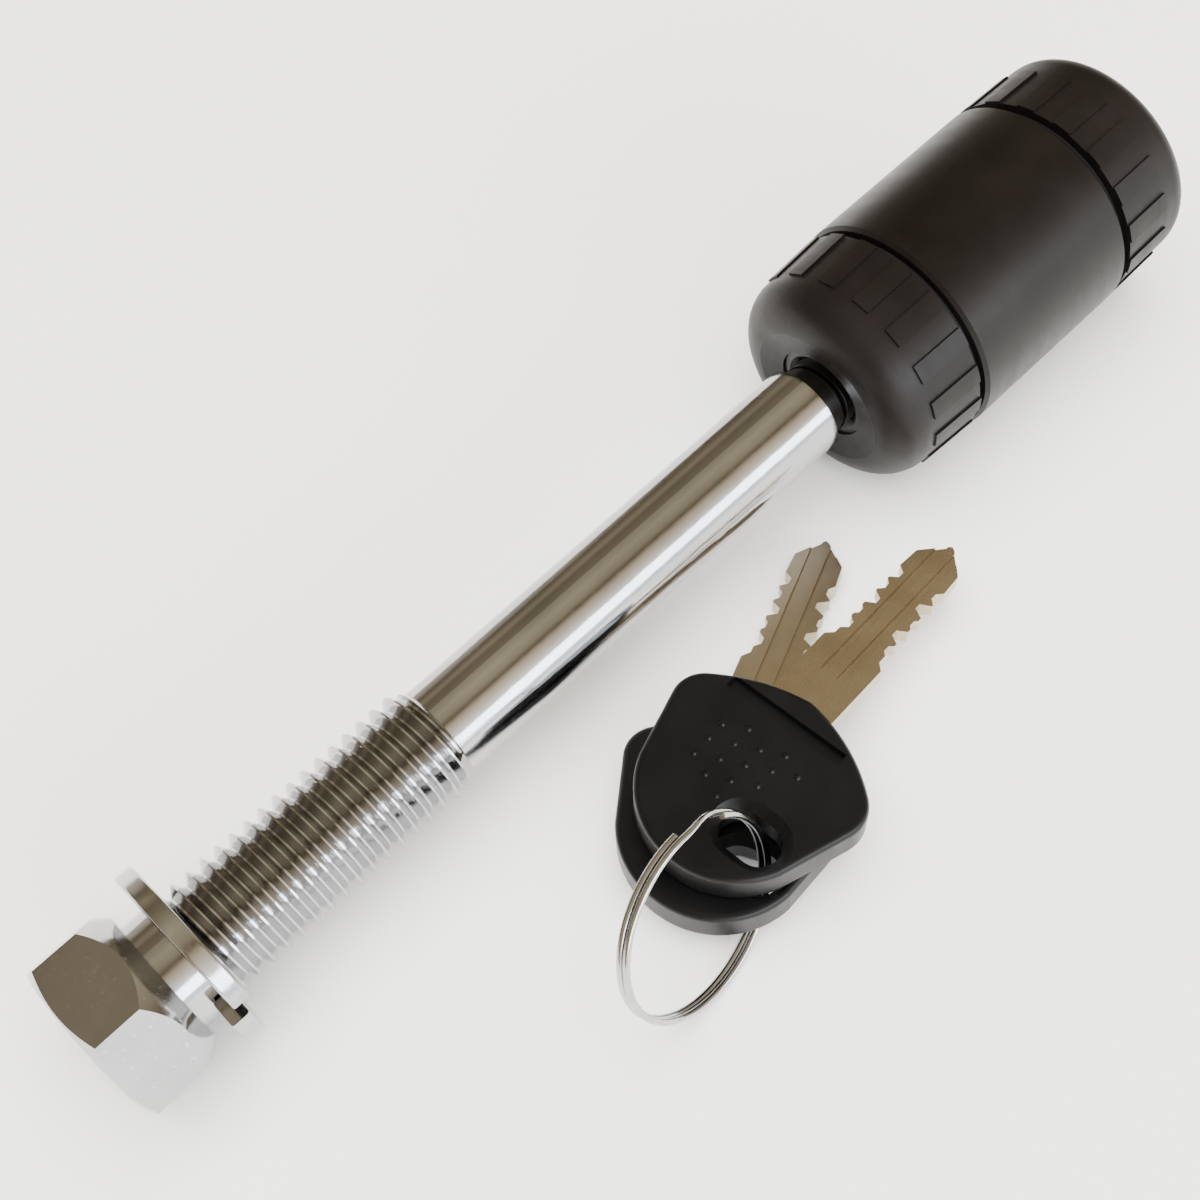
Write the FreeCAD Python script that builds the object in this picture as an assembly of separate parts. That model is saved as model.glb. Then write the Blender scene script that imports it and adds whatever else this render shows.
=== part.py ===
import FreeCAD, Part
import math
import os

from FreeCAD import Placement, Rotation, Vector

# Hitch pin lock. All sizes in millimetres.
# The pin's axis is the X axis, and X = 0 is the bearing face under the hex head.
# +X runs along the pin into the lock head, and +Z is up.

# ---- hitch pin ----
HEX_FLATS = 22.2              # across flats
HEX_HEIGHT = 11.5
HEX_TOP_BEVEL = 30.0          # degrees, on the outer end
HEX_SEAT_R = 9.7              # bearing face under the head
HEX_SEAT_BEVEL = 52.0         # degrees, under the head
COLLAR_LENGTH = 2.4           # plain stretch under the head
THREAD_R = 7.9
THREAD_PITCH = 2.309
THREAD_LENGTH = 40.8
THREAD_DEPTH = 1.35
THREAD_ROOT_FLAT = 0.28
THREAD_CREST_FLAT = 0.25
SHANK_R = 6.5
SHANK_LENGTH = 67.9           # from the thread's end to the step in front of the lock
NOSE_STEP = 1.1               # how much smaller in radius the locking end is
GROOVE_WIDTH = 3.4
NOSE_LENGTH = 29.5            # from the step to the pin's end
NOSE_END = 3.8                # solid nose past the groove
NOSE_CHAMFER = 1.2

# ---- spring lock washer ----
WASHER_THICK = 2.6
WASHER_WIDTH = 4.7            # radial
WASHER_CLEARANCE = 0.3        # radial, over the thread
WASHER_RISE = 1.4             # axial offset of the two ends
WASHER_GAP = 9.0              # degrees of split
WASHER_STAND_OFF = 2.2        # from the head's bearing face
WASHER_SPLIT_ANGLE = 255.0    # degrees about X, from +Y towards +Z

# ---- lock head ----
HEAD_FRONT = 2.7              # front of the boot, from the pin's step
BOOT_LENGTH = 14.5
BOOT_DISH = 0.8               # how far the front face sinks towards the pin
SLEEVE_LENGTH = 29.6
CAP_LENGTH = 13.8
SEAM = 1.2                    # open seam on each side of the sleeve
SLEEVE_R = 17.15
BOOT_FRONT_R = 16.35
BOOT_REAR_R = 16.75
BOOT_NOSE_R = 5.6             # round front edge
BOOT_WALL = 4.0
CAP_FRONT_R = 16.8
CAP_REAR_R = 16.6
CAP_EDGE_R = 3.2
CAP_WALL = 2.9
CAP_CLEARANCE = 0.15
PADS = 17                     # raised grip pads round each end
PAD_ANGLE = 9.8               # degrees
PAD_HEIGHT = 0.3
PAD_PHASE = -50.9             # degrees, where the first pad ends
BOOT_PAD_LENGTH = 8.7
CAP_PAD_LENGTH = 8.0

HOUSING_R = 13.4
SLEEVE_CLEARANCE = 0.1
FIT = 0.05                    # radial, for fixed pieces that are set in
BUSH_LENGTH = 10.8
BUSH_WALL = 1.9
BUSH_CLEARANCE = 0.08         # radial, pin in bush
BORE_CLEARANCE = 0.3          # radial, pin in housing
SEAL_THICK = 3.0
SEAL_WALL = 1.6
SEAL_RECESS = 1.2
GASKET_HEIGHT = 2.1

# ---- latch ----
LATCH_TRAVEL = 1.7
LATCH_THICK = 2.2
LATCH_HALF_WIDTH = 8.4
LATCH_TOP = 9.9
LATCH_BOTTOM = -8.6
LATCH_ARM = 1.5
LATCH_CLEARANCE = 0.15
LATCH_HOLE_CLEARANCE = 0.3
SPRING_WIRE_R = 0.3
SPRING_R = 1.6
SPRING_TURNS = 4
SPRING_PLACES = (-2.4, 2.4)   # along X from the arm's middle

# ---- cylinder ----
SHELL_WALL = 3.67             # plug bore to the cylinder's outside
CAP_BITE = 4.45               # how far the housing reaches into the cap
HOUSING_LIP = 0.8             # of the housing past the cylinder
PLUG_R = 6.2
PLUG_CLEARANCE = 0.08
PLUG_FLANGE_R = 8.6
PLUG_FLANGE = 1.4
TAIL_R = 2.6
TAIL_CLEARANCE = 0.05
CAM_R = 5.4
CAM_THICK = 2.4
CAM_PLAY = 0.5                # above and below the cam in its window
CAM_SIDE_PLAY = 0.3
SCREW_R = 1.15
SCREW_HEAD_R = 3.0
SCREW_HEAD = 1.6
SCREW_LENGTH = 5.5
KEYWAY_HALF_THICK = 1.3
KEYWAY_HALF_WIDTH = 4.4
WAFERS = 5
WAFER_PITCH = 2.7
WAFER_THICK = 1.2
WAFER_HALF_WIDTH = 3.5
WAFER_THROW = 0.9
WAFER_CLEARANCE = 0.05
WAFER_LUG = 1.5
WAFER_SPRING_FLOOR = -2.9
WAFER_SPRING_R = 0.5
WAFER_SPRING_WIRE_R = 0.12
WAFER_SPRING_TURNS = 4
CHANNEL_REACH = 1.8           # how far the wafer channels go past the plug
SHELL_PIN_R = 1.0

# ---- keys and ring ----
KEY_HEAD_THICK = 5.2
KEY_HEAD_ROUND = 0.9
KEY_STACK_GAP = 0.25          # between the two heads, along the table's normal
REAR_KEY_HEIGHT = 4.1         # shoulder of the lower key, above the table
BLADE_LENGTH = 32.0
BLADE_THICK = 2.2
BLADE_HALF_WIDTH = 4.65
BLADE_SHOULDER = 9.6
BLADE_OFFSET = 0.6            # the blade's middle, across the head
BLADE_TANG = 14.0             # length held in the head
BITTING_HALF_WIDTH = 3.65
BITTING_START = 12.0
BITTING_PITCH = 2.7
BITTING_FLAT = 0.9
BITTING_LEFT = (0.9, 0.5, 1.3, 0.7, 1.1)
BITTING_RIGHT = (0.6, 1.3, 0.4, 1.5, 0.8)
BLADE_GROOVES = (1.1, -1.5)
BLADE_GROOVE_WIDTH = 1.2
BLADE_GROOVE_DEPTH = 0.45
BLADE_GROOVE_START = 5.0
RING_HOLE_CENTRE = (-20.4, -6.6)
RING_HOLE_LENGTH = 8.6
RING_HOLE_WIDTH = 6.0
RING_HOLE_BEVEL = 1.2
RECESS_LENGTH = 18.0
RECESS_WIDTH = 1.9
RECESS_DEPTH = 1.1
RECESS_FROM_SHOULDER = 4.9
RING_R = 13.2                 # to the wire's centre
RING_WIRE_R = 0.46
RING_PITCH = 1.0              # between the two turns
RING_STEP = 26.0              # degrees over which the wire steps to its second turn
RING_START = 150.0            # degrees, where it steps
RING_ENDS = 3.0               # degrees the two cut ends stop short of the step

# Where the keys and ring lie, in table coordinates: along, across and above the table, then turns in degrees.
FRONT_KEY_HEIGHT = REAR_KEY_HEIGHT + KEY_HEAD_THICK + KEY_STACK_GAP
FRONT_KEY = {"at": (76.1, -29.7, FRONT_KEY_HEIGHT), "yaw": 4.6, "pitch": 4.5}
REAR_KEY = {"at": (70.65, -24.8, REAR_KEY_HEIGHT), "yaw": 24.0, "pitch": 4.5}
RING_AT = (44.5, -40.55, 13.15)
RING_TILT = 70.7
RING_HEADING = 280.3

# ---- stations along X ----
THREAD_START = COLLAR_LENGTH
THREAD_END = THREAD_START + THREAD_LENGTH
SHANK_START = THREAD_END + (THREAD_R - SHANK_R)
STEP_X = SHANK_START + SHANK_LENGTH
PIN_END = STEP_X + NOSE_LENGTH
NOSE_R = SHANK_R - NOSE_STEP
GROOVE_X1 = PIN_END - NOSE_END
GROOVE_X0 = GROOVE_X1 - GROOVE_WIDTH
GROOVE_R = NOSE_R - LATCH_TRAVEL

BOOT_X0 = STEP_X + HEAD_FRONT
BOOT_X1 = BOOT_X0 + BOOT_LENGTH
SLEEVE_X0 = BOOT_X1 + SEAM
SLEEVE_X1 = SLEEVE_X0 + SLEEVE_LENGTH
CAP_X0 = SLEEVE_X1 + SEAM
CAP_X1 = CAP_X0 + CAP_LENGTH

HOUSING_X0 = BOOT_X0 + BOOT_WALL
BUSH_R0 = NOSE_R + BUSH_CLEARANCE
BUSH_R1 = BUSH_R0 + BUSH_WALL
BORE_R = NOSE_R + BORE_CLEARANCE
SLEEVE_BORE_R = HOUSING_R + SLEEVE_CLEARANCE

LATCH_X0 = (GROOVE_X0 + GROOVE_X1 - LATCH_THICK) / 2
CAVITY_X0 = LATCH_X0 - 0.5
SCREW_X0 = PIN_END + 1.8
CAM_X0 = SCREW_X0 + SCREW_HEAD
CAM_X1 = CAM_X0 + CAM_THICK
CAVITY_X1 = CAM_X1 + 0.2
SHELL_X0 = CAVITY_X1 + FIT
SHELL_R = PLUG_R + PLUG_CLEARANCE + SHELL_WALL
CHANNEL_R = PLUG_R + CHANNEL_REACH
HOUSING_X1 = CAP_X0 + CAP_BITE
SHELL_X1 = HOUSING_X1 - HOUSING_LIP
PLUG_X0 = SHELL_X0 + 0.1
PLUG_X1 = SHELL_X1 + 0.2
PLUG_FACE = PLUG_X1 + PLUG_FLANGE
REAR_PLATE_X0 = (CAM_X0 + CAM_X1 - LATCH_THICK) / 2
WAFER_X0 = SHELL_X0 + 2.6

# The table touches the washer's rim and the front edge of the sleeve, so it slopes down towards the lock.
WASHER_R0 = THREAD_R + WASHER_CLEARANCE
WASHER_R1 = WASHER_R0 + WASHER_WIDTH
TABLE_X = WASHER_STAND_OFF + WASHER_THICK + WASHER_RISE / 2
TABLE_TILT = math.degrees(math.atan2(SLEEVE_R - WASHER_R1, SLEEVE_X0 - TABLE_X))
TABLE = Placement(Vector(TABLE_X, 0, -WASHER_R1), Rotation(Vector(0, 1, 0), TABLE_TILT))

X_AXIS = Vector(1, 0, 0)
PLY = 1e-3


def rod(radius, x0, x1, y=0.0, z=0.0):
    """A cylinder along X."""
    return Part.makeCylinder(radius, x1 - x0, Vector(x0, y, z), X_AXIS)


def tube(outer, inner, x0, x1):
    return rod(outer, x0, x1).cut(rod(inner, x0 - 1, x1 + 1))


def block(x0, x1, y0, y1, z0, z1):
    return Part.makeBox(x1 - x0, y1 - y0, z1 - z0, Vector(x0, y0, z0))


def turned(points):
    """A solid of revolution about X from (x, radius) corners."""
    wire = Part.makePolygon([Vector(x, 0, r) for x, r in points + points[:1]])
    return Part.Face(wire).revolve(Vector(0, 0, 0), X_AXIS, 360)


def turned_edges(edges):
    return Part.Face(Part.Wire(edges)).revolve(Vector(0, 0, 0), X_AXIS, 360)


def line(a, b):
    return Part.LineSegment(Vector(a[0], 0, a[1]), Vector(b[0], 0, b[1])).toShape()


def arc(a, m, b):
    return Part.Arc(Vector(a[0], 0, a[1]), Vector(m[0], 0, m[1]), Vector(b[0], 0, b[1])).toShape()


def swept(spine, profile):
    """A solid swept along a helix."""
    maker = Part.BRepOffsetAPI.MakePipeShell(spine)
    maker.setFrenetMode(True)
    maker.add(profile)
    maker.build()
    maker.makeSolid()
    shape = maker.shape()
    if shape.Volume < 0:
        shape.reverse()
    return shape


def coil(radius, wire_r, pitch, height):
    """A round wire wound about Z, from Z = 0 up."""
    spine = Part.makeHelix(pitch, height, radius)
    start = Vector(radius, 0, 0)
    rise = Vector(0, 2 * math.pi * radius, pitch)
    profile = Part.Wire(Part.Circle(start, rise, wire_r).toShape())
    return swept(spine, profile)


def along_x(shape):
    """Turns a shape built about Z so that Z becomes X."""
    shape.rotate(Vector(0, 0, 0), Vector(0, 1, 0), 90)
    return shape


def polar(shape, count):
    copies = []
    for k in range(count):
        copy = shape.copy()
        copy.rotate(Vector(0, 0, 0), X_AXIS, 360.0 * k / count)
        copies.append(copy)
    return copies


# ---- hitch pin ----
def hex_head():
    flat_r = HEX_FLATS / 2
    corner_r = flat_r / math.cos(math.pi / 6)
    corners = []
    for k in range(7):
        angle = math.radians(60 * k)
        corners.append(Vector(-HEX_HEIGHT, corner_r * math.cos(angle), corner_r * math.sin(angle)))
    prism = Part.Face(Part.makePolygon(corners)).extrude(Vector(HEX_HEIGHT, 0, 0))
    reach = corner_r + 1
    top_drop = (reach - flat_r * 0.97) * math.tan(math.radians(HEX_TOP_BEVEL))
    seat_drop = (reach - HEX_SEAT_R) * math.tan(math.radians(HEX_SEAT_BEVEL))
    envelope = turned([
        (-HEX_HEIGHT, 0),
        (-HEX_HEIGHT, flat_r * 0.97),
        (-HEX_HEIGHT + top_drop, reach),
        (-seat_drop, reach),
        (0, HEX_SEAT_R),
        (0, 0),
    ])
    return prism.common(envelope)


def thread_groove():
    """The V groove between the thread's crests, as a cutter."""
    root_r = THREAD_R - THREAD_DEPTH
    half_root = THREAD_ROOT_FLAT / 2
    half_crest = (THREAD_PITCH - THREAD_CREST_FLAT) / 2
    over = 0.05
    half_over = half_crest + over * (half_crest - half_root) / THREAD_DEPTH
    profile = Part.makePolygon([
        Vector(root_r, 0, -half_root),
        Vector(THREAD_R + over, 0, -half_over),
        Vector(THREAD_R + over, 0, half_over),
        Vector(root_r, 0, half_root),
        Vector(root_r, 0, -half_root),
    ])
    spine = Part.makeHelix(THREAD_PITCH, THREAD_LENGTH, root_r)
    groove = along_x(swept(spine, profile))
    groove.translate(Vector(THREAD_START + half_crest, 0, 0))
    return groove


def hitch_pin():
    # The groove runs out into a bar that is still full size, and the shank is turned down after it.
    bar = rod(THREAD_R, -1, PIN_END).cut(thread_groove())
    chips = turned([
        (THREAD_END, THREAD_R + 1),
        (THREAD_END, THREAD_R),
        (SHANK_START, SHANK_R),
        (STEP_X, SHANK_R),
        (STEP_X, NOSE_R),
        (GROOVE_X0, NOSE_R),
        (GROOVE_X0, GROOVE_R),
        (GROOVE_X1, GROOVE_R),
        (GROOVE_X1, NOSE_R),
        (PIN_END - NOSE_CHAMFER, NOSE_R),
        (PIN_END, NOSE_R - NOSE_CHAMFER),
        (PIN_END + 1, NOSE_R - NOSE_CHAMFER),
        (PIN_END + 1, THREAD_R + 1),
    ])
    return hex_head().fuse(bar.cut(chips))


def lock_washer():
    turn = 360 - WASHER_GAP
    mid_r = (WASHER_R0 + WASHER_R1) / 2
    pitch = WASHER_RISE * 360 / turn
    round_r = 0.45
    r0, r1, h = WASHER_R0, WASHER_R1, WASHER_THICK
    bend = round_r * (1 - math.sqrt(0.5))

    def at(r, z):
        return Vector(r, 0, z)

    corners = [
        (at(r0, round_r), at(r0 + bend, bend), at(r0 + round_r, 0)),
        (at(r1 - round_r, 0), at(r1 - bend, bend), at(r1, round_r)),
        (at(r1, h - round_r), at(r1 - bend, h - bend), at(r1 - round_r, h)),
        (at(r0 + round_r, h), at(r0 + bend, h - bend), at(r0, h - round_r)),
    ]
    edges = []
    for k, corner in enumerate(corners):
        edges.append(Part.Arc(*corner).toShape())
        edges.append(Part.LineSegment(corner[2], corners[(k + 1) % 4][0]).toShape())
    spine = Part.makeHelix(pitch, WASHER_RISE, mid_r)
    ring = along_x(swept(spine, Part.Wire(edges)))
    ring.rotate(Vector(0, 0, 0), X_AXIS, WASHER_SPLIT_ANGLE)
    ring.translate(Vector(WASHER_STAND_OFF, 0, 0))
    return ring


# ---- lock head shells ----
def between_pads(a, b):
    """What is taken away between the grip pads, from corner a to corner b of the side under them."""
    slope = (b[1] - a[1]) / (b[0] - a[0])
    reach = 1 if b[0] > a[0] else -1
    end = (b[0] + reach, b[1] + slope * reach)
    gap = Part.Face(Part.makePolygon([
        Vector(a[0], 0, a[1]),
        Vector(end[0], 0, end[1]),
        Vector(end[0], 0, end[1] + 3),
        Vector(a[0], 0, end[1] + 3),
        Vector(a[0], 0, a[1]),
    ])).revolve(Vector(0, 0, 0), X_AXIS, 360.0 / PADS - PAD_ANGLE)
    gap.rotate(Vector(0, 0, 0), X_AXIS, PAD_PHASE)
    return polar(gap, PADS)


def front_boot():
    x0, x1 = BOOT_X0, BOOT_X1
    hole_r = SEAL_R1 + FIT
    face_r = BOOT_FRONT_R - BOOT_NOSE_R
    side_x = x0 + BOOT_NOSE_R
    pad_x = x1 - BOOT_PAD_LENGTH
    pad_r = BOOT_FRONT_R + (BOOT_REAR_R - BOOT_FRONT_R) * (pad_x - side_x) / (x1 - side_x)
    edges = [
        line((x0 + BOOT_DISH, hole_r), (x0, face_r)),
        arc((x0, face_r),
            (x0 + BOOT_NOSE_R * (1 - math.sqrt(0.5)), face_r + BOOT_NOSE_R * math.sqrt(0.5)),
            (side_x, BOOT_FRONT_R)),
        line((side_x, BOOT_FRONT_R), (pad_x, pad_r)),
        line((pad_x, pad_r), (pad_x, pad_r + PAD_HEIGHT)),
        line((pad_x, pad_r + PAD_HEIGHT), (x1, BOOT_REAR_R + PAD_HEIGHT)),
        line((x1, BOOT_REAR_R + PAD_HEIGHT), (x1, HOUSING_R + FIT)),
        line((x1, HOUSING_R + FIT), (HOUSING_X0 - FIT, HOUSING_R + FIT)),
        line((HOUSING_X0 - FIT, HOUSING_R + FIT), (HOUSING_X0 - FIT, hole_r)),
        line((HOUSING_X0 - FIT, hole_r), (x0 + BOOT_DISH, hole_r)),
    ]
    return turned_edges(edges).cut(between_pads((pad_x, pad_r), (x1, BOOT_REAR_R)))


def body_sleeve():
    edge = 0.5
    return turned([
        (SLEEVE_X0, SLEEVE_BORE_R),
        (SLEEVE_X0, SLEEVE_R - edge),
        (SLEEVE_X0 + edge, SLEEVE_R),
        (SLEEVE_X1 - edge, SLEEVE_R),
        (SLEEVE_X1, SLEEVE_R - edge),
        (SLEEVE_X1, SLEEVE_BORE_R),
    ])


def rear_cap():
    x0, x1 = CAP_X0, CAP_X1
    bore_r = HOUSING_R + CAP_CLEARANCE
    edge_r = CAP_REAR_R - CAP_EDGE_R
    side_x = x1 - CAP_EDGE_R
    pad_x = x0 + CAP_PAD_LENGTH
    pad_r = CAP_FRONT_R + (CAP_REAR_R - CAP_FRONT_R) * (pad_x - x0) / (side_x - x0)
    edges = [
        line((x0, bore_r), (x0, CAP_FRONT_R + PAD_HEIGHT)),
        line((x0, CAP_FRONT_R + PAD_HEIGHT), (pad_x, pad_r + PAD_HEIGHT)),
        line((pad_x, pad_r + PAD_HEIGHT), (pad_x, pad_r)),
        line((pad_x, pad_r), (side_x, CAP_REAR_R)),
        arc((x1 - CAP_EDGE_R, CAP_REAR_R),
            (x1 - CAP_EDGE_R * (1 - math.sqrt(0.5)), edge_r + CAP_EDGE_R * math.sqrt(0.5)),
            (x1, edge_r)),
        line((x1, edge_r), (x1, 0)),
        line((x1, 0), (x1 - CAP_WALL, 0)),
        line((x1 - CAP_WALL, 0), (x1 - CAP_WALL, bore_r)),
        line((x1 - CAP_WALL, bore_r), (x0, bore_r)),
    ]
    return turned_edges(edges).cut(between_pads((pad_x, pad_r), (x0, CAP_FRONT_R)))


SEAL_R0 = NOSE_R + BUSH_CLEARANCE
SEAL_R1 = SEAL_R0 + SEAL_WALL


def shank_seal():
    x0 = BOOT_X0 + SEAL_RECESS
    x1 = min(x0 + SEAL_THICK, HOUSING_X0 - FIT)
    lip = 0.7
    return turned([
        (x0 + lip, SEAL_R0),
        (x0, SEAL_R0 + lip),
        (x0, SEAL_R1),
        (x1, SEAL_R1),
        (x1, SEAL_R0),
    ])


def gasket(x0):
    return tube(HOUSING_R + FIT + GASKET_HEIGHT, HOUSING_R + FIT, x0 + FIT, x0 + SEAM - FIT)


# ---- housing and what it holds ----
def lock_housing():
    bush_x1 = HOUSING_X0 + BUSH_LENGTH
    body = turned([
        (HOUSING_X0, BUSH_R1 + FIT),
        (HOUSING_X0, HOUSING_R),
        (HOUSING_X1, HOUSING_R),
        (HOUSING_X1, SHELL_R + FIT),
        (CAVITY_X1, SHELL_R + FIT),
        (CAVITY_X1, BORE_R),
        (bush_x1, BORE_R),
        (bush_x1, BUSH_R1 + FIT),
    ])
    half = LATCH_HALF_WIDTH + LATCH_CLEARANCE
    floor = LATCH_BOTTOM - LATCH_TRAVEL - 0.6
    cavity = block(CAVITY_X0, CAVITY_X1, -half, half, floor, HOUSING_R + 1)
    return body.cut([cavity, shell_pin_hole()])


def shell_pin_x():
    return (SHELL_X0 + SHELL_X1) / 2


def shell_pin_hole():
    foot = Vector(shell_pin_x(), 0, -HOUSING_R - 1)
    return Part.makeCylinder(SHELL_PIN_R + FIT, HOUSING_R + 1 - CHANNEL_R - 0.8, foot)


def shell_pin():
    foot = Vector(shell_pin_x(), 0, -HOUSING_R + 0.2)
    height = HOUSING_R - 0.2 - CHANNEL_R - 1.0
    pin = Part.makeCylinder(SHELL_PIN_R, height, foot)
    return pin.cut(Part.makeCylinder(SHELL_PIN_R * 0.5, height, foot))


def guide_bush():
    return tube(BUSH_R1, BUSH_R0, HOUSING_X0, HOUSING_X0 + BUSH_LENGTH - FIT)


def latch_slide():
    w = LATCH_HALF_WIDTH
    front = block(LATCH_X0, LATCH_X0 + LATCH_THICK, -w, w, LATCH_BOTTOM, LATCH_TOP)
    hole_r = NOSE_R + LATCH_HOLE_CLEARANCE
    front = front.cut(rod(hole_r, LATCH_X0 - 1, LATCH_X0 + LATCH_THICK + 1))
    rear = block(REAR_PLATE_X0, REAR_PLATE_X0 + LATCH_THICK, -w, w, LATCH_BOTTOM, LATCH_TOP)
    half_y = CAM_R + LATCH_TRAVEL + CAM_SIDE_PLAY
    half_z = CAM_R + CAM_PLAY
    window = block(
        REAR_PLATE_X0 - 1, REAR_PLATE_X0 + LATCH_THICK + 1,
        -half_y, half_y,
        LATCH_TRAVEL - half_z, LATCH_TRAVEL + half_z,
    )
    arm = block(LATCH_X0, REAR_PLATE_X0 + 1, -w, w, LATCH_TOP - LATCH_ARM, LATCH_TOP)
    return front.fuse([rear.cut(window), arm])


def latch_springs():
    middle = (LATCH_X0 + REAR_PLATE_X0 + LATCH_THICK) / 2
    room = SLEEVE_BORE_R - LATCH_TOP - 2 * SPRING_WIRE_R - 0.4
    springs = []
    for offset in SPRING_PLACES:
        spring = coil(SPRING_R, SPRING_WIRE_R, room / SPRING_TURNS, room)
        spring.translate(Vector(middle + offset, 0, LATCH_TOP + SPRING_WIRE_R + 0.1))
        springs.append(spring)
    return Part.makeCompound(springs)


def cylinder_shell():
    shell = tube(SHELL_R, PLUG_R + PLUG_CLEARANCE, SHELL_X0, SHELL_X1)
    half = WAFER_HALF_WIDTH + 0.25
    reach = CHANNEL_R
    x0, x1 = SHELL_X0 + 1.6, SHELL_X1 - 1.2
    channels = [
        block(x0, x1, -half, half, -reach, reach),
        block(x0, x1, -reach, reach, -half, half),
    ]
    return shell.cut(channels + [shell_pin_hole()])


def wafer_x(k):
    return WAFER_X0 + WAFER_PITCH * k


def lock_plug():
    body = turned([
        (CAM_X0 - 0.1, 0),
        (CAM_X0 - 0.1, TAIL_R),
        (PLUG_X0, TAIL_R),
        (PLUG_X0, PLUG_R),
        (PLUG_X1, PLUG_R),
        (PLUG_X1, PLUG_FLANGE_R),
        (PLUG_FACE - 0.4, PLUG_FLANGE_R),
        (PLUG_FACE, PLUG_FLANGE_R - 0.4),
        (PLUG_FACE, 0),
    ])
    screw_hole = rod(SCREW_R + FIT, CAM_X0 - 1, CAM_X0 + SCREW_LENGTH)
    keyway_x0 = WAFER_X0 - 0.6
    keyway = block(
        keyway_x0, PLUG_FACE + 1,
        -KEYWAY_HALF_THICK, KEYWAY_HALF_THICK,
        -KEYWAY_HALF_WIDTH, KEYWAY_HALF_WIDTH,
    )
    mouth = block(
        PLUG_FACE - 0.7, PLUG_FACE + 1,
        -KEYWAY_HALF_THICK - 0.6, KEYWAY_HALF_THICK + 0.6,
        -KEYWAY_HALF_WIDTH - 0.6, KEYWAY_HALF_WIDTH + 0.6,
    )
    cuts = [screw_hole, keyway, mouth]
    half = WAFER_HALF_WIDTH + WAFER_CLEARANCE
    lug_y = WAFER_HALF_WIDTH + WAFER_LUG + WAFER_CLEARANCE
    for k in range(WAFERS):
        x0 = wafer_x(k) - WAFER_CLEARANCE
        x1 = wafer_x(k) + WAFER_THICK + WAFER_CLEARANCE
        cuts.append(block(x0, x1, -half, half, -PLUG_R - 1, PLUG_R + 1))
        cuts.append(block(x0, x1, half - 0.1, lug_y, WAFER_SPRING_FLOOR, 1.3 + WAFER_THROW))
    return body.cut(cuts)


def wafers():
    plates = []
    barrel = rod(PLUG_R - 0.05, SHELL_X0, SHELL_X1)
    for k in range(WAFERS):
        x0 = wafer_x(k)
        x1 = x0 + WAFER_THICK
        plate = block(x0, x1, -WAFER_HALF_WIDTH, WAFER_HALF_WIDTH, -PLUG_R, PLUG_R).common(barrel)
        lug = block(x0, x1, WAFER_HALF_WIDTH - 0.5, WAFER_HALF_WIDTH + WAFER_LUG, 0.2, 1.2)
        lift = 0.25 * (k % 3)
        window = block(
            x0 - 1, x1 + 1,
            -KEYWAY_HALF_THICK - 0.1, KEYWAY_HALF_THICK + 0.1,
            -2.6 - lift, 3.1 - lift,
        )
        plates.append(plate.fuse(lug).cut(window))
    return Part.makeCompound(plates)


def wafer_springs():
    springs = []
    z0 = WAFER_SPRING_FLOOR + 0.1 + WAFER_SPRING_WIRE_R
    height = 0.1 - WAFER_SPRING_WIRE_R - z0
    y = WAFER_HALF_WIDTH + WAFER_LUG / 2 + 0.1
    for k in range(WAFERS):
        spring = coil(WAFER_SPRING_R - WAFER_SPRING_WIRE_R, WAFER_SPRING_WIRE_R,
                      height / WAFER_SPRING_TURNS, height)
        spring.translate(Vector(wafer_x(k) + WAFER_THICK / 2, y, z0))
        springs.append(spring)
    return Part.makeCompound(springs)


def drive_cam():
    disc = rod(CAM_R, CAM_X0, CAM_X1, z=LATCH_TRAVEL)
    return disc.cut(rod(TAIL_R + TAIL_CLEARANCE, CAM_X0 - 1, CAM_X1 + 1))


def cam_screw():
    head_x1 = CAM_X0 - 0.15
    screw = turned([
        (SCREW_X0, 0),
        (SCREW_X0, SCREW_HEAD_R - 0.5),
        (SCREW_X0 + 0.5, SCREW_HEAD_R),
        (head_x1, SCREW_HEAD_R),
        (head_x1, SCREW_R),
        (CAM_X0 + SCREW_LENGTH - 0.5, SCREW_R),
        (CAM_X0 + SCREW_LENGTH - 0.5, 0),
    ])
    slots = [
        block(SCREW_X0 - 1, SCREW_X0 + 0.8, -1.6, 1.6, -0.35, 0.35),
        block(SCREW_X0 - 1, SCREW_X0 + 0.8, -0.35, 0.35, -1.6, 1.6),
    ]
    return screw.cut(slots)


# ---- keys ----
# A key is built flat: the blade runs along +X from the shoulder, and Z = 0 is its mid plane.
def key_outline():
    """The head's outline, from the middle of the blade's end round to the ring's end, both ways."""
    top, end = (-0.5, -0.6), (-29.3, -0.6)
    pieces = [
        (top, (-2.4, 6.6), (-5.6, 12.3)),
        ((-5.6, 12.3), (-7.6, 14.0), (-10.4, 14.3)),
        ((-10.4, 14.3), (-20.4, 11.4)),
        ((-20.4, 11.4), (-26.8, 6.4), end),
        (top, (-2.6, -8.0), (-6.6, -14.2)),
        ((-6.6, -14.2), (-8.9, -15.8), (-12.2, -15.9)),
        ((-12.2, -15.9), (-22.0, -12.7)),
        ((-22.0, -12.7), (-27.4, -8.0), end),
    ]
    edges = []
    for piece in pieces:
        points = [Vector(a, b, 0) for a, b in piece]
        if len(points) == 3:
            edges.append(Part.Arc(*points).toShape())
        else:
            edges.append(Part.LineSegment(*points).toShape())
    return Part.Wire(Part.__sortEdges__(edges))


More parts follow.
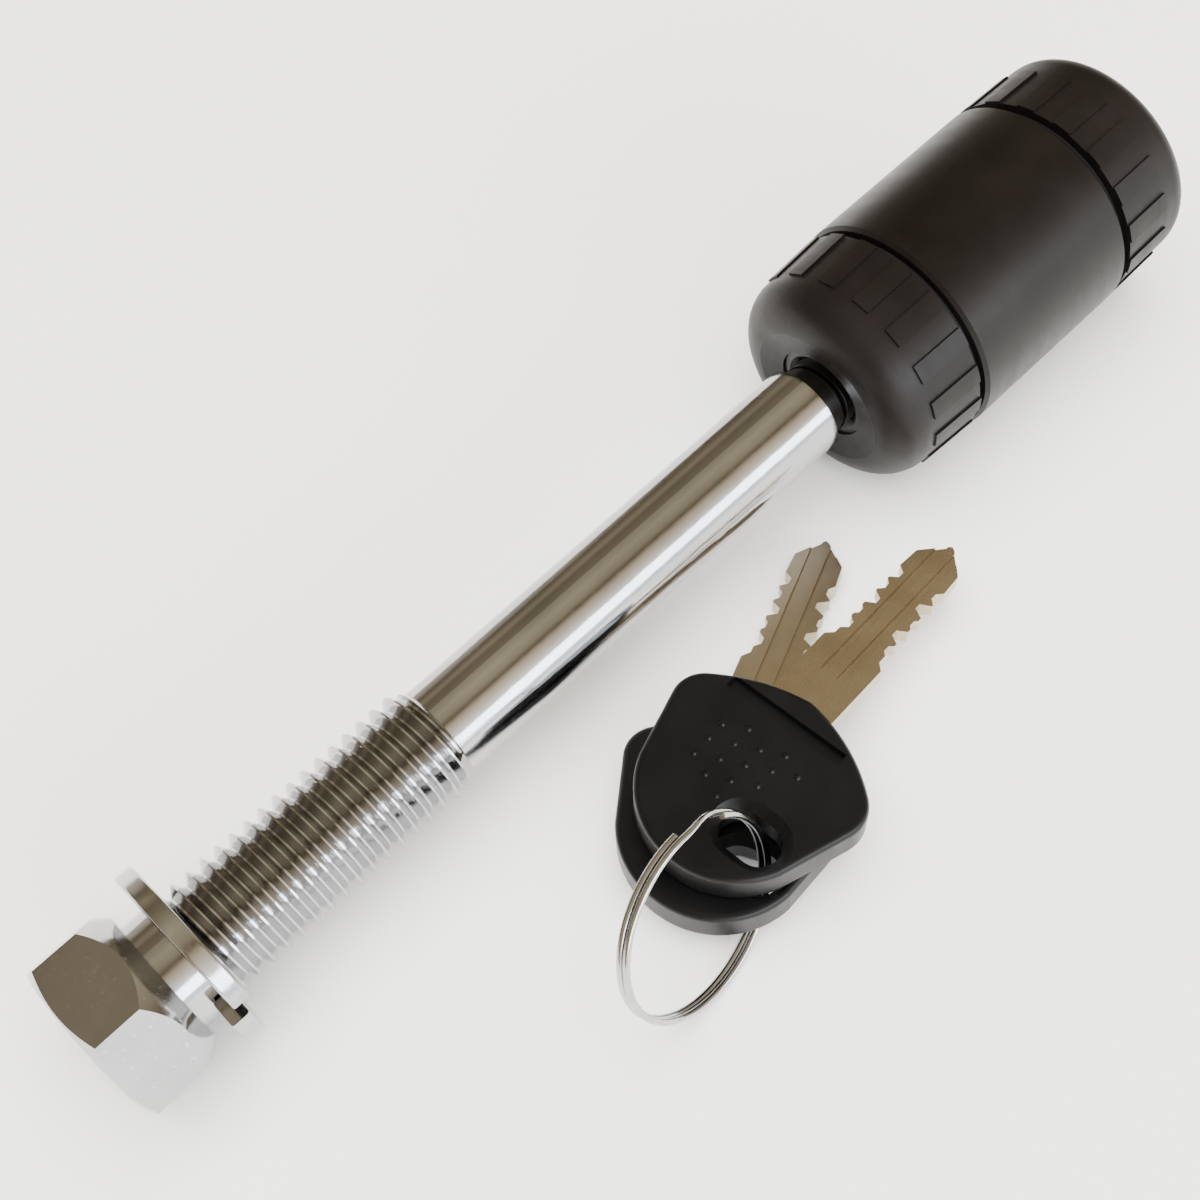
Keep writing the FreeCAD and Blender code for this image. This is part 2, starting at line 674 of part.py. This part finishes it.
def ring_hole(length, width, depth):
    """A round-ended slot through the head, square to its faces."""
    a, b = RING_HOLE_CENTRE
    reach = (length - width) / 2
    ends = [Vector(a, b - reach, -depth / 2), Vector(a, b + reach, -depth / 2)]
    solid = Part.makeBox(width, 2 * reach, depth, Vector(a - width / 2, b - reach, -depth / 2))
    return solid.fuse([Part.makeCylinder(width / 2, depth, end) for end in ends]).removeSplitter()


def key_head():
    top = KEY_HEAD_THICK / 2
    plate = Part.Face(key_outline()).extrude(Vector(0, 0, KEY_HEAD_THICK))
    plate.translate(Vector(0, 0, -top))
    rim = [e for e in plate.Edges if abs(abs(e.CenterOfMass.z) - top) < PLY]
    plate = plate.makeFillet(KEY_HEAD_ROUND, rim)
    plate = plate.cut(ring_hole(RING_HOLE_LENGTH, RING_HOLE_WIDTH, KEY_HEAD_THICK + 2))
    a, b = RING_HOLE_CENTRE
    lips = []
    for e in plate.Edges:
        c = e.CenterOfMass
        if abs(abs(c.z) - top) < PLY and math.hypot(c.x - a, c.y - b) < RING_HOLE_LENGTH / 2 + PLY:
            lips.append(e)
    plate = plate.makeChamfer(RING_HOLE_BEVEL, lips)
    cuts = []
    for side in (1, -1):
        low = min(side * (top - RECESS_DEPTH), side * (top + 1))
        cuts.append(Part.makeBox(
            RECESS_WIDTH, RECESS_LENGTH, RECESS_DEPTH + 1,
            Vector(-RECESS_FROM_SHOULDER - RECESS_WIDTH / 2, -RECESS_LENGTH / 2 + 0.3, low),
        ))
    cuts.append(Part.makeBox(
        BLADE_TANG + FIT + 5, 2 * (BLADE_HALF_WIDTH + FIT), BLADE_THICK + 2 * FIT,
        Vector(-BLADE_TANG - FIT, BLADE_OFFSET - BLADE_HALF_WIDTH - FIT, -BLADE_THICK / 2 - FIT),
    ))
    return plate.cut(cuts)


def bitting(cuts):
    """(along, half width) corners of one edge of the blade, from the shoulder to the tip."""
    points = [(BLADE_SHOULDER, BLADE_HALF_WIDTH)]
    points.append((BLADE_SHOULDER + BLADE_HALF_WIDTH - BITTING_HALF_WIDTH, BITTING_HALF_WIDTH))
    for k, depth in enumerate(cuts):
        middle = BITTING_START + BITTING_FLAT + k * BITTING_PITCH
        flank = BITTING_FLAT / 2 + min(depth, (BITTING_PITCH - BITTING_FLAT) / 2 - 0.1)
        points.append((middle - flank, BITTING_HALF_WIDTH))
        points.append((middle - BITTING_FLAT / 2, BITTING_HALF_WIDTH - depth))
        points.append((middle + BITTING_FLAT / 2, BITTING_HALF_WIDTH - depth))
        points.append((middle + flank, BITTING_HALF_WIDTH))
    points.append((BLADE_LENGTH - 3.6, BITTING_HALF_WIDTH - 0.2))
    points.append((BLADE_LENGTH - 0.4, 0.6))
    return points


def key_blade():
    left = bitting(BITTING_LEFT)
    right = bitting(BITTING_RIGHT)
    outline = [(-BLADE_TANG, -BLADE_HALF_WIDTH), (-BLADE_TANG, BLADE_HALF_WIDTH)] + left
    outline += [(BLADE_LENGTH, 0.0)]
    outline += [(a, -w) for a, w in reversed(right)]
    corners = [Vector(a, BLADE_OFFSET + b, -BLADE_THICK / 2) for a, b in outline + outline[:1]]
    blade = Part.Face(Part.makePolygon(corners)).extrude(Vector(0, 0, BLADE_THICK))
    cuts = []
    for b in BLADE_GROOVES:
        for side in (1, -1):
            face_z = side * BLADE_THICK / 2
            low = min(face_z - side * BLADE_GROOVE_DEPTH, face_z + side)
            cuts.append(Part.makeBox(
                BLADE_LENGTH, BLADE_GROOVE_WIDTH, BLADE_GROOVE_DEPTH + 1,
                Vector(BLADE_GROOVE_START, BLADE_OFFSET + b - BLADE_GROOVE_WIDTH / 2, low),
            ))
    return blade.cut(cuts)


def laid(shape, key):
    """Lays a flat key on the table."""
    turn = Rotation(Vector(0, 0, 1), key["yaw"]).multiply(Rotation(Vector(0, 1, 0), key["pitch"]))
    moved = shape.copy()
    moved.Placement = TABLE.multiply(Placement(Vector(*key["at"]), turn))
    return moved


def ring_turn(z, start, sweep):
    circle = Part.Circle(Vector(RING_R, 0, z), Vector(0, 1, 0), RING_WIRE_R)
    turn = Part.Face(Part.Wire(circle.toShape())).revolve(Vector(0, 0, 0), Vector(0, 0, 1), sweep)
    turn.rotate(Vector(0, 0, 0), Vector(0, 0, 1), start)
    return turn


def ring_step():
    """The short stretch where the wire crosses from one turn to the other."""
    points = []
    for k in range(9):
        s = k / 8
        angle = math.radians(RING_STEP * (s - 0.5))
        z = RING_PITCH * (s * s * (3 - 2 * s) - 0.5)
        points.append(Vector(RING_R * math.cos(angle), RING_R * math.sin(angle), z))
    half = math.radians(RING_STEP / 2)
    curve = Part.BSplineCurve()
    curve.interpolate(
        Points=points,
        InitialTangent=Vector(math.sin(half), math.cos(half), 0),
        FinalTangent=Vector(-math.sin(half), math.cos(half), 0),
    )
    circle = Part.Circle(points[0], Vector(math.sin(half), math.cos(half), 0), RING_WIRE_R)
    return Part.Wire(curve.toShape()).makePipeShell([Part.Wire(circle.toShape())], True, False)


def split_ring():
    """Two flat turns of wire side by side, leaning in the keys' holes."""
    half = RING_STEP / 2
    sweep = 360 - RING_STEP - RING_ENDS
    lower = ring_turn(-RING_PITCH / 2, half + RING_ENDS, sweep)
    upper = ring_turn(RING_PITCH / 2, half, sweep)
    ring = lower.fuse([ring_step(), upper])
    ring.rotate(Vector(0, 0, 0), Vector(0, 0, 1), RING_START)
    lean = Rotation(Vector(0, 0, 1), RING_HEADING).multiply(Rotation(Vector(0, 1, 0), RING_TILT))
    ring.Placement = TABLE.multiply(Placement(Vector(*RING_AT), lean)).multiply(ring.Placement)
    return ring


def save(name, shape):
    shape.exportStep("parts/" + name + ".step")


def main():
    os.makedirs("parts", exist_ok=True)
    save("hitch_pin", hitch_pin())
    save("lock_washer", lock_washer())
    save("front_boot", front_boot())
    save("body_sleeve", body_sleeve())
    save("rear_cap", rear_cap())
    save("shank_seal", shank_seal())
    save("front_gasket", gasket(BOOT_X1))
    save("rear_gasket", gasket(SLEEVE_X1))
    save("lock_housing", lock_housing())
    save("guide_bush", guide_bush())
    save("latch_slide", latch_slide())
    save("latch_springs", latch_springs())
    save("cylinder_shell", cylinder_shell())
    save("shell_pin", shell_pin())
    save("lock_plug", lock_plug())
    save("wafers", wafers())
    save("wafer_springs", wafer_springs())
    save("drive_cam", drive_cam())
    save("cam_screw", cam_screw())
    head = key_head()
    blade = key_blade()
    save("front_key_head", laid(head, FRONT_KEY))
    save("front_key_blade", laid(blade, FRONT_KEY))
    save("rear_key_head", laid(head, REAR_KEY))
    save("rear_key_blade", laid(blade, REAR_KEY))
    save("split_ring", split_ring())


main()
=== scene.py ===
import math

import bmesh
import bpy
from mathutils import Matrix, Vector


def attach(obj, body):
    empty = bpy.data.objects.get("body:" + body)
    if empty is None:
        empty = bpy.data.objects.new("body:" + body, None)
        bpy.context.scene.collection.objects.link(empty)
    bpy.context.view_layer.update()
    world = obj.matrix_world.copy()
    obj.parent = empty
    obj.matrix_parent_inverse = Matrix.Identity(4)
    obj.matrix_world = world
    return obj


# The hitch pin lock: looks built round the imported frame. Metres, +X along the pin, +Z up.

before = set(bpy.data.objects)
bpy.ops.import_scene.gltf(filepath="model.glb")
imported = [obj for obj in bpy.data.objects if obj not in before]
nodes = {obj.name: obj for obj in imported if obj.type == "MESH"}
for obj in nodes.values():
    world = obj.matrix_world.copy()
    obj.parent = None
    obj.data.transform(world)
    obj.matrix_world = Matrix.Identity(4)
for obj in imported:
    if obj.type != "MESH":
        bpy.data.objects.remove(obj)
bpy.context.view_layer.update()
scene = bpy.context.scene

MM = 0.001


# ---- procedural materials ----
class Graph:
    """A small helper that builds one material's node graph."""

    def __init__(self, name):
        self.mat = bpy.data.materials.new(name)
        self.mat.use_nodes = True
        self.tree = self.mat.node_tree
        self.tree.nodes.clear()
        self.out = self.node("ShaderNodeOutputMaterial")
        self.bsdf = self.node("ShaderNodeBsdfPrincipled")
        self.link(self.bsdf, "BSDF", self.out, "Surface")
        self.coord = self.node("ShaderNodeTexCoord")

    def node(self, kind):
        return self.tree.nodes.new(kind)

    def link(self, a, a_socket, b, b_socket):
        self.tree.links.new(a.outputs[a_socket], b.inputs[b_socket])

    def scaled(self, scale, turn=(0, 0, 0)):
        """Object coordinates, turned and then stretched."""
        source, socket = self.coord, "Object"
        if turn != (0, 0, 0):
            rotate = self.node("ShaderNodeMapping")
            rotate.inputs["Rotation"].default_value = [math.radians(t) for t in turn]
            self.link(source, socket, rotate, "Vector")
            source, socket = rotate, "Vector"
        stretch = self.node("ShaderNodeMapping")
        stretch.inputs["Scale"].default_value = scale
        self.link(source, socket, stretch, "Vector")
        return stretch

    def noise(self, scale, detail=4.0, rough=0.55, turn=(0, 0, 0)):
        tex = self.node("ShaderNodeTexNoise")
        tex.inputs["Scale"].default_value = 1.0
        tex.inputs["Detail"].default_value = detail
        tex.inputs["Roughness"].default_value = rough
        self.link(self.scaled(scale, turn), "Vector", tex, "Vector")
        return tex

    def ramp(self, source, socket, stops):
        ramp = self.node("ShaderNodeValToRGB")
        elements = ramp.color_ramp.elements
        while len(elements) < len(stops):
            elements.new(0.5)
        for element, (position, colour) in zip(elements, stops):
            element.position = position
            element.color = (*colour, 1.0)
        self.link(source, socket, ramp, "Fac")
        return ramp

    def spread(self, source, socket, lo, hi, low=0.3, high=0.7):
        """Maps low..high of a texture to lo..hi."""
        out = self.node("ShaderNodeMapRange")
        out.inputs["From Min"].default_value = low
        out.inputs["From Max"].default_value = high
        out.inputs["To Min"].default_value = lo
        out.inputs["To Max"].default_value = hi
        self.link(source, socket, out, "Value")
        return out

    def math(self, kind, a, a_socket, b, b_socket):
        out = self.node("ShaderNodeMath")
        out.operation = kind
        self.tree.links.new(a.outputs[a_socket], out.inputs[0])
        self.tree.links.new(b.outputs[b_socket], out.inputs[1])
        return out

    def bump(self, source, socket, strength, distance, under=None):
        out = self.node("ShaderNodeBump")
        out.inputs["Strength"].default_value = strength
        out.inputs["Distance"].default_value = distance
        self.link(source, socket, out, "Height")
        if under:
            self.link(under, "Normal", out, "Normal")
        return out

    def set(self, **values):
        for key, value in values.items():
            self.bsdf.inputs[key.replace("_", " ")].default_value = value


# where the pin's finish changes, in metres along it
HEX_END = (-0.0006, 0.0002)
THREAD_END = (0.0435, 0.0455)


def plated_pin():
    """Bright plating over turned steel: fine marks round the shank, pits on the hex."""
    g = Graph("plated_pin")
    g.set(Metallic=1.0)
    tint = g.noise((60, 90, 90), 3.0)
    colour = g.ramp(tint, "Fac", [(0.3, (0.36, 0.36, 0.37)), (0.7, (0.44, 0.44, 0.45))])
    g.link(colour, "Color", g.bsdf, "Base Color")
    marks = g.noise((5200, 130, 130), 3.0, 0.6)
    grain = g.noise((900, 900, 900), 5.0, 0.6)
    g.link(g.spread(grain, "Fac", 0.07, 0.16), "Result", g.bsdf, "Roughness")
    where = g.node("ShaderNodeSeparateXYZ")
    g.link(g.coord, "Object", where, "Vector")
    on_shank = g.spread(where, "X", 0.0, 1.0, *THREAD_END)
    on_hex = g.spread(where, "X", 1.0, 0.0, *HEX_END)
    pits = g.noise((1500, 1500, 1500), 4.0, 0.7)
    pit_depth = g.spread(pits, "Fac", 1.0, 0.0, 0.30, 0.36)
    broad = g.noise((260, 260, 260), 2.0)
    shank_marks = g.math("MULTIPLY", marks, "Fac", on_shank, "Result")
    hex_pits = g.math("MULTIPLY", pit_depth, "Result", on_hex, "Result")
    first = g.bump(shank_marks, "Value", 0.16, 0.00002)
    second = g.bump(hex_pits, "Value", 0.35, -0.00005, first)
    third = g.bump(broad, "Fac", 0.12, 0.0002, second)
    g.link(third, "Normal", g.bsdf, "Normal")
    return g.mat


def plated_wire(name, tone_a, tone_b, scale):
    """Bright plating over drawn wire: cloudy tone and fine marks."""
    g = Graph(name)
    g.set(Metallic=1.0)
    tint = g.noise((scale, scale, scale), 3.0)
    g.link(g.ramp(tint, "Fac", [(0.3, tone_a), (0.7, tone_b)]), "Color", g.bsdf, "Base Color")
    fine = g.noise((scale * 6, scale * 6, scale * 6), 5.0, 0.65)
    g.link(g.spread(fine, "Fac", 0.08, 0.2), "Result", g.bsdf, "Roughness")
    g.link(g.bump(fine, "Fac", 0.12, 0.00004), "Normal", g.bsdf, "Normal")
    return g.mat


def moulded(name, dark, light, rough, grain, strength):
    """Black moulded rubber or plastic: fine grain, cloudy tone and faint rubbed marks."""
    g = Graph(name)
    cloud = g.noise((70, 70, 70), 5.0, 0.6)
    colour = g.ramp(cloud, "Fac", [(0.3, dark), (0.72, light)])
    g.link(colour, "Color", g.bsdf, "Base Color")
    rub = g.noise((420, 160, 160), 6.0, 0.7)
    g.link(g.spread(rub, "Fac", rough[0], rough[1]), "Result", g.bsdf, "Roughness")
    fine = g.noise((grain, grain, grain), 3.0, 0.6)
    broad = g.noise((240, 240, 240), 3.0, 0.5)
    under = g.bump(broad, "Fac", 0.10, 0.0002)
    g.link(g.bump(fine, "Fac", strength, 0.00005, under), "Normal", g.bsdf, "Normal")
    g.set(Specular_IOR_Level=0.2)
    return g.mat


def brushed(name, tone_a, tone_b, turn, rough):
    """Metal brushed along X after the turn."""
    g = Graph(name)
    g.set(Metallic=1.0)
    lines = g.noise((110, 5200, 5200), 4.0, 0.6, turn)
    cloud = g.noise((150, 150, 150), 4.0, 0.6)
    g.link(g.ramp(cloud, "Fac", [(0.3, tone_a), (0.7, tone_b)]), "Color", g.bsdf, "Base Color")
    g.link(g.spread(lines, "Fac", rough[0], rough[1]), "Result", g.bsdf, "Roughness")
    g.link(g.bump(lines, "Fac", 0.18, 0.00003), "Normal", g.bsdf, "Normal")
    return g.mat


def turned(name, tone_a, tone_b, rough=(0.22, 0.4)):
    """Metal turned about X: rings of fine tool marks."""
    g = Graph(name)
    g.set(Metallic=1.0)
    rings = g.noise((4200, 70, 70), 3.0, 0.6)
    cloud = g.noise((220, 220, 220), 4.0, 0.6)
    g.link(g.ramp(cloud, "Fac", [(0.3, tone_a), (0.7, tone_b)]), "Color", g.bsdf, "Base Color")
    g.link(g.spread(rings, "Fac", rough[0], rough[1]), "Result", g.bsdf, "Roughness")
    g.link(g.bump(rings, "Fac", 0.2, 0.00003), "Normal", g.bsdf, "Normal")
    return g.mat


FRONT_YAW, REAR_YAW = 4.6, 24.0

mats = {
    "pin": plated_pin(),
    "washer": plated_wire("plated_washer", (0.36, 0.36, 0.37), (0.45, 0.45, 0.46), 260),
    "ring": plated_wire("plated_ring", (0.38, 0.38, 0.39), (0.48, 0.48, 0.49), 500),
    "boot": moulded(
        "rubber_boot", (0.0030, 0.0022, 0.0020), (0.0062, 0.0048, 0.0046),
        (0.38, 0.50), 5200, 0.14,
    ),
    "sleeve": moulded(
        "satin_sleeve", (0.0026, 0.0018, 0.0016), (0.0054, 0.0042, 0.0040),
        (0.34, 0.44), 7000, 0.10,
    ),
    "cap": moulded(
        "rubber_cap", (0.0032, 0.0024, 0.0022), (0.0064, 0.0050, 0.0048),
        (0.38, 0.52), 5200, 0.14,
    ),
    "seal": moulded(
        "seal_rubber", (0.006, 0.006, 0.006), (0.012, 0.011, 0.012),
        (0.3, 0.45), 4000, 0.10,
    ),
    "key": moulded(
        "key_plastic", (0.0020, 0.0020, 0.0022), (0.0042, 0.0042, 0.0046),
        (0.30, 0.42), 9000, 0.12,
    ),
    "front_blade": brushed(
        "front_blade_metal", (0.40, 0.34, 0.25), (0.50, 0.43, 0.32),
        (0, 0, -FRONT_YAW), (0.2, 0.34),
    ),
    "rear_blade": brushed(
        "rear_blade_metal", (0.42, 0.36, 0.27), (0.52, 0.45, 0.34),
        (0, 0, -REAR_YAW), (0.32, 0.46),
    ),
    "steel": turned("turned_steel", (0.42, 0.42, 0.43), (0.56, 0.56, 0.57)),
    "bush": turned("turned_bush", (0.62, 0.46, 0.24), (0.76, 0.58, 0.33)),
    "brass": turned("turned_brass", (0.66, 0.50, 0.26), (0.80, 0.63, 0.36), (0.18, 0.34)),
    "zinc": turned("cast_zinc", (0.50, 0.50, 0.52), (0.64, 0.64, 0.66), (0.35, 0.55)),
    "spring": plated_wire("spring_wire", (0.40, 0.40, 0.41), (0.55, 0.55, 0.56), 600),
}


WEARS = {
    "hitch_pin": "pin",
    "lock_washer": "washer",
    "split_ring": "ring",
    "front_boot": "boot",
    "body_sleeve": "sleeve",
    "rear_cap": "cap",
    "shank_seal": "seal",
    "front_gasket": "seal",
    "rear_gasket": "seal",
    "front_key_head": "key",
    "rear_key_head": "key",
    "front_key_blade": "front_blade",
    "rear_key_blade": "rear_blade",
    "lock_housing": "steel",
    "latch_slide": "steel",
    "drive_cam": "steel",
    "guide_bush": "bush",
    "cylinder_shell": "zinc",
    "lock_plug": "brass",
    "wafers": "brass",
    "latch_springs": "spring",
    "wafer_springs": "spring",
    "shell_pin": "spring",
    "cam_screw": "spring",
}
for name, key in WEARS.items():
    nodes[name].data.materials.clear()
    nodes[name].data.materials.append(mats[key])


# ---- where the table and the keys lie ----
def turn_y(degrees):
    return Matrix.Rotation(math.radians(degrees), 4, "Y")


def turn_z(degrees):
    return Matrix.Rotation(math.radians(degrees), 4, "Z")


def shift(x, y, z):
    return Matrix.Translation(Vector((x, y, z)) * MM)


# The table touches the washer's rim and the sleeve's front edge.
TABLE_TILT = 1.9411
TABLE = shift(5.5, 0, -12.9) @ turn_y(TABLE_TILT)
KEYS = {
    "front_key": TABLE @ shift(76.1, -29.7, 9.55) @ turn_z(FRONT_YAW) @ turn_y(4.5),
    "rear_key": TABLE @ shift(70.65, -24.8, 4.1) @ turn_z(REAR_YAW) @ turn_y(4.5),
}
KEY_FACE = 2.6                # from a key head's middle to its face


# ---- raised dots on the key heads ----
DOTS = [
    (-10.7, 6.0), (-13.4, 6.0), (-16.3, 6.0),
    (-9.1, 3.0), (-11.9, 3.0), (-14.8, 3.0), (-17.7, 3.0),
    (-10.5, 0.0), (-13.4, 0.0), (-16.3, 0.0), (-19.1, 0.0),
    (-9.1, -3.0), (-11.9, -3.0), (-14.7, -3.0),
    (-10.5, -6.0),
]
# radius and height of each ring of a dot, in millimetres
DOT_PROFILE = [(0.52, 0.0), (0.42, 0.05), (0.34, 0.16), (0.26, 0.26), (0.14, 0.33), (0.0, 0.35)]
DOT_CORNERS = 14
DOT_ROOT = 0.02               # how far a dot starts below the face


def add_dot(bm, a, b, side):
    """One raised dot on the face that the side (1 or -1) points to."""
    rows = []
    for radius, height in DOT_PROFILE:
        row = []
        for k in range(DOT_CORNERS if radius else 1):
            turn = 2 * math.pi * k / DOT_CORNERS
            x = a + radius * math.cos(turn)
            y = b + side * radius * math.sin(turn)
            row.append(bm.verts.new(Vector((x, y, side * (KEY_FACE - DOT_ROOT + height))) * MM))
        rows.append(row)
    for low, high in zip(rows, rows[1:]):
        for k in range(DOT_CORNERS):
            after = (k + 1) % DOT_CORNERS
            if len(high) == 1:
                bm.faces.new((low[k], low[after], high[0]))
            else:
                bm.faces.new((low[k], low[after], high[after], high[k]))


def finish_mesh(bm, name, matrix, material, body):
    """Turns the bmesh into an object that rides its body."""
    mesh = bpy.data.meshes.new(name)
    bm.to_mesh(mesh)
    bm.free()
    mesh.shade_smooth()
    mesh.materials.append(material)
    obj = bpy.data.objects.new(name, mesh)
    scene.collection.objects.link(obj)
    mesh.transform(matrix)
    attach(obj, body)


# The upper key shows its dots on top, and the lower key has them on its free underside.
DOT_SIDES = {"front_key": 1, "rear_key": -1}
for body, place in KEYS.items():
    bm = bmesh.new()
    for a, b in DOTS:
        add_dot(bm, a, b, DOT_SIDES[body])
    finish_mesh(bm, body + "_dots", place, mats["key"], body)


# ---- softened edges on the machined and moulded pieces ----
SOFT_ANGLE = 28.0             # degrees, the least turn that is rounded


def soften(name, width):
    obj = nodes[name]
    bevel = obj.modifiers.new("soft edges", "BEVEL")
    bevel.limit_method = "ANGLE"
    bevel.angle_limit = math.radians(SOFT_ANGLE)
    bevel.width = width * MM
    bevel.segments = 2
    bevel.harden_normals = False
    bevel.use_clamp_overlap = True


# edge width of each piece, in millimetres
SOFT = {
    "hitch_pin": 0.22,
    "body_sleeve": 0.15,
    "lock_housing": 0.1,
    "guide_bush": 0.08,
    "cylinder_shell": 0.1,
    "drive_cam": 0.1,
    "front_key_blade": 0.12,
    "rear_key_blade": 0.12,
}
for soft_name, soft_width in SOFT.items():
    soften(soft_name, soft_width)


# ---- table and lights ----
def lay_table(matrix, width):
    """A plain pale plane that the part lies on."""
    mesh = bpy.data.meshes.new("table")
    half = width / 2
    corners = [(-half, -half, 0), (half, -half, 0), (half, half, 0), (-half, half, 0)]
    mesh.from_pydata(corners, [], [(0, 1, 2, 3)])
    obj = bpy.data.objects.new("table", mesh)
    scene.collection.objects.link(obj)
    obj.matrix_world = matrix
    mat = bpy.data.materials.new("table")
    mat.use_nodes = True
    bsdf = mat.node_tree.nodes["Principled BSDF"]
    bsdf.inputs["Base Color"].default_value = (*TABLE_TONE, 1.0)
    bsdf.inputs["Roughness"].default_value = 0.9
    mesh.materials.append(mat)


TABLE_TONE = (0.92, 0.92, 0.92)
lay_table(TABLE @ shift(80, 0, 0), 6.0)


def area(name, where, aim, size, power, colour):
    """A soft rectangular light, turned to face its aim."""
    light = bpy.data.lights.new(name, "AREA")
    light.shape = "RECTANGLE"
    light.size, light.size_y = size
    light.energy = power
    light.color = colour
    obj = bpy.data.objects.new(name, light)
    scene.collection.objects.link(obj)
    obj.location = where
    obj.rotation_euler = (Vector(aim) - Vector(where)).to_track_quat("-Z", "Y").to_euler()
    return obj


MIDDLE = (0.08, -0.01, 0.0)
area("window", (0.10, -1.15, 0.42), MIDDLE, (1.5, 0.45), 22.0, (0.88, 0.94, 1.0))
fill = area("ceiling_fill", (0.05, 0.0, 1.3), MIDDLE, (1.6, 1.6), 72.0, (1.0, 0.99, 0.97))
fill.visible_glossy = False

# The room: a brown ceiling that goes to daylight low on the -Y side.
world = bpy.data.worlds.new("studio")
scene.world = world
world.use_nodes = True
tree = world.node_tree
coord = tree.nodes.new("ShaderNodeTexCoord")
parts = tree.nodes.new("ShaderNodeSeparateXYZ")
tree.links.new(coord.outputs["Generated"], parts.inputs["Vector"])
span = tree.nodes.new("ShaderNodeMapRange")
span.inputs["From Min"].default_value = -1.0
span.inputs["From Max"].default_value = 1.0
tree.links.new(parts.outputs["Y"], span.inputs["Value"])
sky = tree.nodes.new("ShaderNodeValToRGB")
# -Y horizon first, +Y horizon last
STOPS = [
    (0.00, (2.60, 2.70, 2.90)),
    (0.07, (2.50, 2.50, 2.42)),
    (0.16, (1.70, 1.46, 1.12)),
    (0.24, (1.15, 0.94, 0.64)),
    (0.32, (0.28, 0.22, 0.13)),
    (0.40, (0.62, 0.52, 0.34)),
    (0.56, (0.80, 0.68, 0.46)),
    (0.70, (0.46, 0.38, 0.25)),
    (0.84, (0.28, 0.23, 0.14)),
    (0.90, (0.52, 0.43, 0.28)),
    (0.96, (0.24, 0.19, 0.12)),
    (1.00, (1.00, 0.88, 0.72)),
]
while len(sky.color_ramp.elements) < len(STOPS):
    sky.color_ramp.elements.new(0.5)
for element, (position, colour) in zip(sky.color_ramp.elements, STOPS):
    element.position = position
    element.color = (*colour, 1.0)
tree.links.new(span.outputs["Result"], sky.inputs["Fac"])
back = tree.nodes["Background"]
tree.links.new(sky.outputs["Color"], back.inputs["Color"])
back.inputs["Strength"].default_value = 1.0

# ---- camera, at the photograph's angle ----
RIGHT = Vector((0.7176239788526587, -0.6888980538328155, -0.10215329853234222))
DOWN = Vector((-0.6387539026379223, -0.5926250295975404, -0.49070258421913565))
AHEAD = Vector((0.27750545371308033, 0.4173907590254883, -0.8653182521128421))
cam_data = bpy.data.cameras.new("photo_camera")
cam_data.lens = 54.126
cam_data.sensor_width = 36.0
cam_data.clip_start = 0.01
cam = bpy.data.objects.new("photo_camera", cam_data)
scene.collection.objects.link(cam)
turn = Matrix((RIGHT, -DOWN, -AHEAD)).transposed().to_4x4()
cam.matrix_world = Matrix.Translation((0.00638737, -0.1002616, 0.20556674)) @ turn
scene.camera = cam
